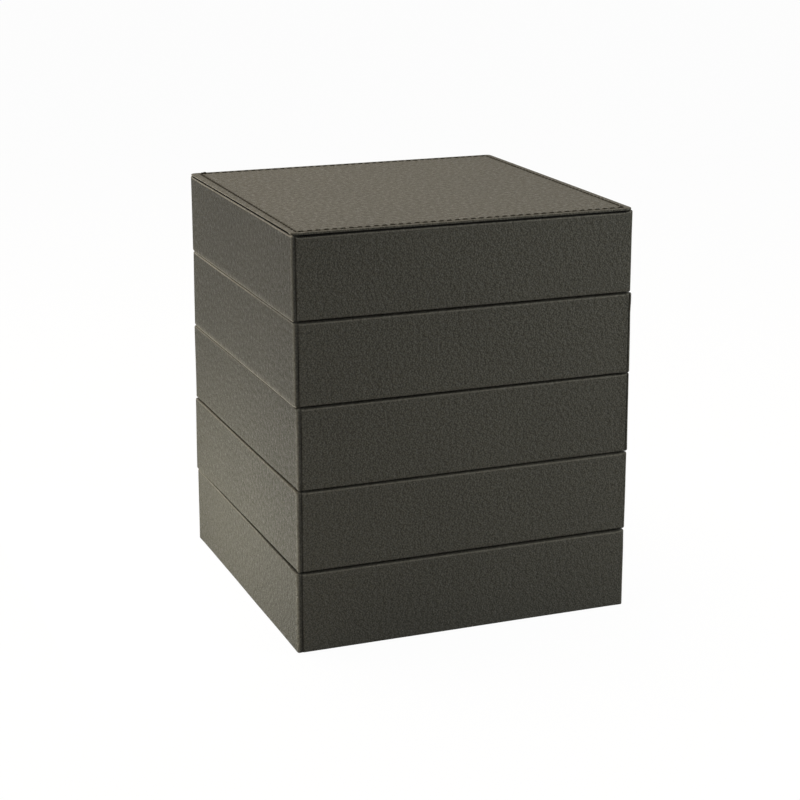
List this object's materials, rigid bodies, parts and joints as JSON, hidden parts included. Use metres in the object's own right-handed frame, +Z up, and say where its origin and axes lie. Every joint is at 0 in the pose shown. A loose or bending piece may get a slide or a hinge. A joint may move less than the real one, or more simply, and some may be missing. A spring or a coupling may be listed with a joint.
{
  "type": "jewellery box with swing-out trays",
  "caption": "Square stacking jewellery box wrapped in grained leathercloth: trays swing out on a corner post under a stitched, hinged lid with a mirror inside.",
  "frame": {"origin": "middle of the underside, on the surface that the box stands on", "axes": "+X to the right, +Y to the back where the lid is hinged, +Z up"},
  "size_m": [0.18, 0.1839, 0.2146],
  "materials": {
    "leathercloth": "pebble-grained, semi-matt",
    "board": "sanded fibreboard",
    "suede": "short suede nap",
    "backing": "thin matt backing cloth",
    "felt": "pressed felt",
    "post_steel": "bright drawn steel",
    "bush_brass": "turned brass",
    "hinge_brass": "satin aged brass",
    "washer_nylon": "natural nylon",
    "mirror_glass": "silvered glass"
  },
  "bodies": {
    "base": {"base_tray_frame": "board", "base_tray_floor": "board", "base_tray_leather": "leathercloth", "base_tray_liner": "suede", "base_tray_underside": "backing", "base_tray_block": "suede", "base_tray_dividers": "suede", "base_felt": "felt", "post": "post_steel", "post_flange": "post_steel", "flange_screws": "post_steel", "thrust_washers": "washer_nylon", "post_nut": "post_steel"},
    "tray_4": {"tray_4_frame": "board", "tray_4_floor": "board", "tray_4_leather": "leathercloth", "tray_4_liner": "suede", "tray_4_underside": "backing", "tray_4_block": "suede", "tray_4_dividers": "suede", "tray_4_bush": "bush_brass"},
    "tray_3": {"tray_3_frame": "board", "tray_3_floor": "board", "tray_3_leather": "leathercloth", "tray_3_liner": "suede", "tray_3_underside": "backing", "tray_3_block": "suede", "tray_3_dividers": "suede", "tray_3_bush": "bush_brass"},
    "tray_2": {"tray_2_frame": "board", "tray_2_floor": "board", "tray_2_leather": "leathercloth", "tray_2_liner": "suede", "tray_2_underside": "backing", "tray_2_block": "suede", "tray_2_dividers": "suede", "tray_2_bush": "bush_brass"},
    "top_tray": {"top_tray_frame": "board", "top_tray_floor": "board", "top_tray_leather": "leathercloth", "top_tray_liner": "suede", "top_tray_underside": "backing", "top_tray_block": "suede", "top_tray_dividers": "suede", "top_tray_bush": "bush_brass", "top_tray_ring_rolls": "suede", "hinge_lower_leaves": "hinge_brass", "hinge_pins": "hinge_brass", "hinge_wall_screws": "hinge_brass"},
    "lid": {"lid_cover": "leathercloth", "lid_card": "backing", "lid_board": "board", "lid_skin": "suede", "lid_mirror": "mirror_glass", "hinge_upper_leaves": "hinge_brass", "hinge_lid_screws": "hinge_brass"}
  },
  "joints": [
    {"name": "top_tray_swivel", "type": "hinge", "parent": "base", "child": "top_tray", "pos_m": [-0.07, 0.07, 0.1706], "axis": [0, 0, -1], "continuous": true},
    {"name": "tray_2_swivel", "type": "hinge", "parent": "base", "child": "tray_2", "pos_m": [-0.07, 0.07, 0.1281], "axis": [0, 0, -1], "continuous": true},
    {"name": "tray_3_swivel", "type": "hinge", "parent": "base", "child": "tray_3", "pos_m": [-0.07, 0.07, 0.0856], "axis": [0, 0, -1], "continuous": true},
    {"name": "tray_4_swivel", "type": "hinge", "parent": "base", "child": "tray_4", "pos_m": [-0.07, 0.07, 0.0431], "axis": [0, 0, -1], "continuous": true},
    {"name": "lid_hinge", "type": "hinge", "parent": "top_tray", "child": "lid", "pos_m": [0, 0.0921, 0.211], "axis": [-1, 0, 0], "range_deg": [0, 95]}
  ]
}
